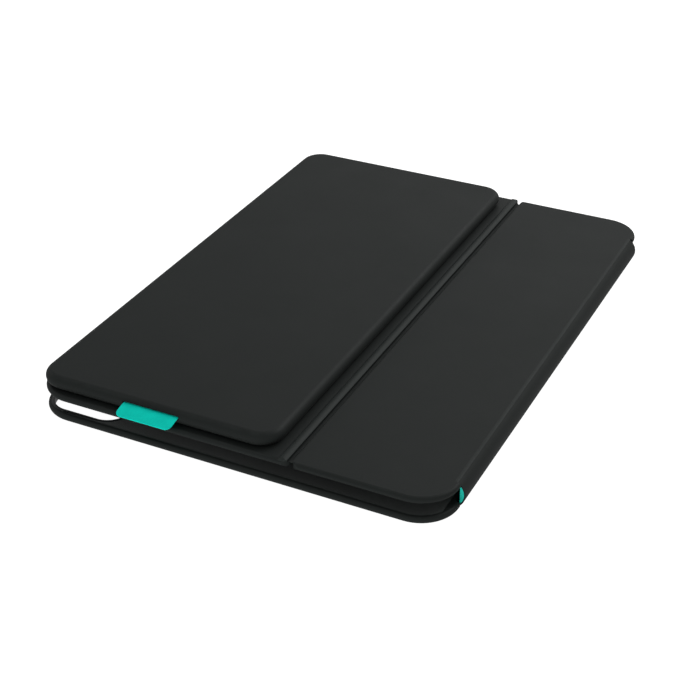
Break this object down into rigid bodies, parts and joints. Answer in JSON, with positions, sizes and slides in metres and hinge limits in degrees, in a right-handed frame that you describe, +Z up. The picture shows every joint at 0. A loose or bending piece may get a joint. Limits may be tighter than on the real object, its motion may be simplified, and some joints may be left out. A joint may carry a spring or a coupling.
{
  "type": "tablet keyboard case",
  "caption": "Folding tablet case with a slim wireless keyboard stowed keys-down on the outside of its front cover.",
  "frame": {"origin": "middle of the back panel's flat underside, which the closed case lies on", "axes": "+X towards the spine, +Y along the case's long side away from the pull tab, +Z up through the closed cover"},
  "size_m": [0.1817, 0.254, 0.018],
  "materials": {
    "skin": "smooth soft-touch polyurethane, charcoal",
    "keyboard_skin": "smooth soft-touch coating, charcoal",
    "lining": "short-pile microfibre, dark grey",
    "board": "glass-fibre board",
    "magnet": "nickel-plated magnet",
    "frame_trim": "fine matt moulding",
    "teal_foam": "dense teal foam",
    "teal_fabric": "tight woven teal ribbon",
    "deck": "fine matt moulding, near black",
    "keycap": "fine matt moulding, near black",
    "plate": "stamped steel",
    "link": "white moulding",
    "dome": "translucent silicone",
    "circuit": "solder mask",
    "contact": "gold-plated spring leaf",
    "light": "clear light pipe",
    "switch": "ribbed black slider",
    "cell": "stainless can"
  },
  "bodies": {
    "back_panel": {"back_skin": "skin", "back_board": "board", "back_lining": "lining", "back_magnets": "magnet", "camera_frame": "frame_trim"},
    "spine": {"spine_skin": "skin", "spine_filling": "teal_foam", "spine_stiffener": "board"},
    "narrow_panel": {"narrow_skin": "skin", "narrow_board": "board", "narrow_lining": "lining", "narrow_magnets": "magnet"},
    "wide_panel": {"wide_skin": "skin", "wide_board": "board", "wide_lining": "lining", "dock_magnets": "magnet", "wake_magnet": "magnet", "fold_strip": "skin"},
    "keyboard": {"keyboard_shell": "keyboard_skin", "key_deck": "deck", "support_plate": "plate", "scissor_links": "link", "dome_sheet": "dome", "circuit_board": "circuit", "keyboard_magnets": "magnet", "battery_contacts": "contact", "status_light": "light"},
    "pull_tab_ribbon": {"pull_tab": "teal_fabric"},
    "switch_slider": {"power_switch": "switch"},
    "tray": {"battery_tray": "deck", "coin_cells": "cell"},
    "escape_key_body": {"escape_key": "keycap"},
    "function_keys_body": {"function_keys": "keycap"},
    "number_keys_body": {"number_keys": "keycap"},
    "delete_key_body": {"delete_key": "keycap"},
    "tab_key_body": {"tab_key": "keycap"},
    "upper_letter_keys_body": {"upper_letter_keys": "keycap"},
    "caps_lock_key_body": {"caps_lock_key": "keycap"},
    "home_letter_keys_body": {"home_letter_keys": "keycap"},
    "return_key_body": {"return_key": "keycap"},
    "left_shift_key_body": {"left_shift_key": "keycap"},
    "lower_letter_keys_body": {"lower_letter_keys": "keycap"},
    "right_shift_key_body": {"right_shift_key": "keycap"},
    "modifier_keys_body": {"modifier_keys": "keycap"},
    "command_keys_body": {"command_keys": "keycap"},
    "space_key_body": {"space_key": "keycap"},
    "arrow_keys_body": {"arrow_keys": "keycap"}
  },
  "joints": [
    {"name": "spine_hinge", "type": "hinge", "parent": "back_panel", "child": "spine", "pos_m": [0.08815, 0, 0], "axis": [0, -1, 0], "range_deg": [-35, 0]},
    {"name": "cover_hinge", "type": "hinge", "parent": "spine", "child": "narrow_panel", "pos_m": [0.08815, 0, 0.012], "axis": [0, -1, 0], "range_deg": [-145, 0]},
    {"name": "fold_hinge", "type": "hinge", "parent": "narrow_panel", "child": "wide_panel", "pos_m": [0.0274, 0, 0.012], "axis": [0, 1, 0], "range_deg": [0, 110]},
    {"name": "keyboard_lift", "type": "slide", "parent": "wide_panel", "child": "keyboard", "axis": [0, 0, 1], "range_m": [0, 0.012]},
    {"name": "tab_flex", "type": "hinge", "parent": "keyboard", "child": "pull_tab_ribbon", "pos_m": [-0.0346, -0.1219, 0.0155], "axis": [-1, 0, 0], "range_deg": [-8, 60], "stiffness_Nm_per_rad": 0.002},
    {"name": "power_slide", "type": "slide", "parent": "keyboard", "child": "switch_slider", "axis": [0, 1, 0], "range_m": [0, 0.0035]},
    {"name": "tray_slide", "type": "slide", "parent": "keyboard", "child": "tray", "axis": [0, 1, 0], "range_m": [0, 0.024]},
    {"name": "escape_key_press", "type": "slide", "parent": "keyboard", "child": "escape_key_body", "axis": [0, 0, 1], "range_m": [0, 0.001], "stiffness_N_per_m": 200},
    {"name": "function_keys_press", "type": "slide", "parent": "keyboard", "child": "function_keys_body", "axis": [0, 0, 1], "range_m": [0, 0.001], "stiffness_N_per_m": 200},
    {"name": "number_keys_press", "type": "slide", "parent": "keyboard", "child": "number_keys_body", "axis": [0, 0, 1], "range_m": [0, 0.001], "stiffness_N_per_m": 200},
    {"name": "delete_key_press", "type": "slide", "parent": "keyboard", "child": "delete_key_body", "axis": [0, 0, 1], "range_m": [0, 0.001], "stiffness_N_per_m": 200},
    {"name": "tab_key_press", "type": "slide", "parent": "keyboard", "child": "tab_key_body", "axis": [0, 0, 1], "range_m": [0, 0.001], "stiffness_N_per_m": 200},
    {"name": "upper_letter_keys_press", "type": "slide", "parent": "keyboard", "child": "upper_letter_keys_body", "axis": [0, 0, 1], "range_m": [0, 0.001], "stiffness_N_per_m": 200},
    {"name": "caps_lock_key_press", "type": "slide", "parent": "keyboard", "child": "caps_lock_key_body", "axis": [0, 0, 1], "range_m": [0, 0.001], "stiffness_N_per_m": 200},
    {"name": "home_letter_keys_press", "type": "slide", "parent": "keyboard", "child": "home_letter_keys_body", "axis": [0, 0, 1], "range_m": [0, 0.001], "stiffness_N_per_m": 200},
    {"name": "return_key_press", "type": "slide", "parent": "keyboard", "child": "return_key_body", "axis": [0, 0, 1], "range_m": [0, 0.001], "stiffness_N_per_m": 200},
    {"name": "left_shift_key_press", "type": "slide", "parent": "keyboard", "child": "left_shift_key_body", "axis": [0, 0, 1], "range_m": [0, 0.001], "stiffness_N_per_m": 200},
    {"name": "lower_letter_keys_press", "type": "slide", "parent": "keyboard", "child": "lower_letter_keys_body", "axis": [0, 0, 1], "range_m": [0, 0.001], "stiffness_N_per_m": 200},
    {"name": "right_shift_key_press", "type": "slide", "parent": "keyboard", "child": "right_shift_key_body", "axis": [0, 0, 1], "range_m": [0, 0.001], "stiffness_N_per_m": 200},
    {"name": "modifier_keys_press", "type": "slide", "parent": "keyboard", "child": "modifier_keys_body", "axis": [0, 0, 1], "range_m": [0, 0.001], "stiffness_N_per_m": 200},
    {"name": "command_keys_press", "type": "slide", "parent": "keyboard", "child": "command_keys_body", "axis": [0, 0, 1], "range_m": [0, 0.001], "stiffness_N_per_m": 200},
    {"name": "space_key_press", "type": "slide", "parent": "keyboard", "child": "space_key_body", "axis": [0, 0, 1], "range_m": [0, 0.001], "stiffness_N_per_m": 200},
    {"name": "arrow_keys_press", "type": "slide", "parent": "keyboard", "child": "arrow_keys_body", "axis": [0, 0, 1], "range_m": [0, 0.001], "stiffness_N_per_m": 200}
  ],
  "couplings": [
    {"joint": "spine_hinge", "follows": "cover_hinge", "ratio": 0.24138}
  ]
}
